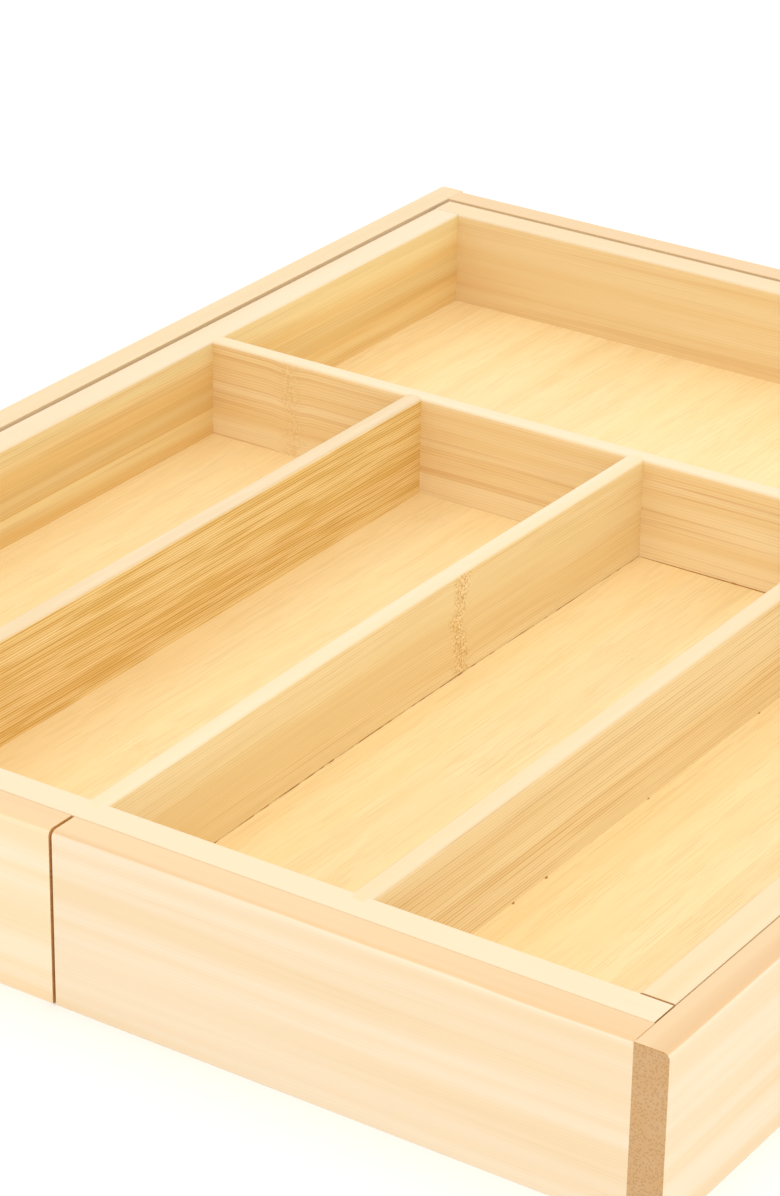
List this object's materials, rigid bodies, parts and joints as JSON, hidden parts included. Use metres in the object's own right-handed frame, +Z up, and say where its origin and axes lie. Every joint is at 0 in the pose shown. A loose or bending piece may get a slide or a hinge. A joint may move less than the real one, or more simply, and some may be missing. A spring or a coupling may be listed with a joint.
{
  "type": "drawer organizer insert",
  "caption": "Expandable bamboo drawer organizer: a tray with long slots and a cross slot, nested in outer wings that slide out sideways to fill the drawer.",
  "frame": {"origin": "on the surface the organizer stands on, under the middle of the centre tray", "axes": "+X to the right along the front, +Y towards the back along the long slots, +Z up"},
  "size_m": [0.3544, 0.4461, 0.05],
  "materials": {
    "tray_wall_bamboo": "sanded and clear-lacquered bamboo board, satin",
    "divider_bamboo": "sanded and clear-lacquered bamboo strip on edge, satin",
    "floor_bamboo": "flat-pressed bamboo panel, sanded and clear-lacquered, satin",
    "wing_wall_bamboo": "sanded and clear-lacquered bamboo board, satin",
    "guide_strip_bamboo": "waxed bamboo strip, bare",
    "dowel_beech": "fluted beech dowel, bare"
  },
  "bodies": {
    "centre_tray": {"tray_front_wall": "tray_wall_bamboo", "tray_back_wall": "tray_wall_bamboo", "tray_left_wall": "tray_wall_bamboo", "tray_right_wall": "tray_wall_bamboo", "tray_floor": "floor_bamboo", "cross_partition": "divider_bamboo", "left_divider": "divider_bamboo", "middle_divider": "divider_bamboo", "right_divider": "divider_bamboo", "tray_corner_dowels": "dowel_beech", "front_left_guide": "guide_strip_bamboo", "front_right_guide": "guide_strip_bamboo", "back_left_guide": "guide_strip_bamboo", "back_right_guide": "guide_strip_bamboo"},
    "left_wing": {"left_wing_side_wall": "wing_wall_bamboo", "left_wing_front_wall": "wing_wall_bamboo", "left_wing_back_wall": "wing_wall_bamboo", "left_wing_floor": "floor_bamboo", "left_wing_dowels": "dowel_beech"},
    "right_wing": {"right_wing_side_wall": "wing_wall_bamboo", "right_wing_front_wall": "wing_wall_bamboo", "right_wing_back_wall": "wing_wall_bamboo", "right_wing_floor": "floor_bamboo", "right_wing_dowels": "dowel_beech"}
  },
  "joints": [
    {"name": "left_wing_slide", "type": "slide", "parent": "centre_tray", "child": "left_wing", "axis": [-1, 0, 0], "range_m": [-0.0007, 0.1086]},
    {"name": "right_wing_slide", "type": "slide", "parent": "centre_tray", "child": "right_wing", "axis": [1, 0, 0], "range_m": [0, 0.11]}
  ]
}
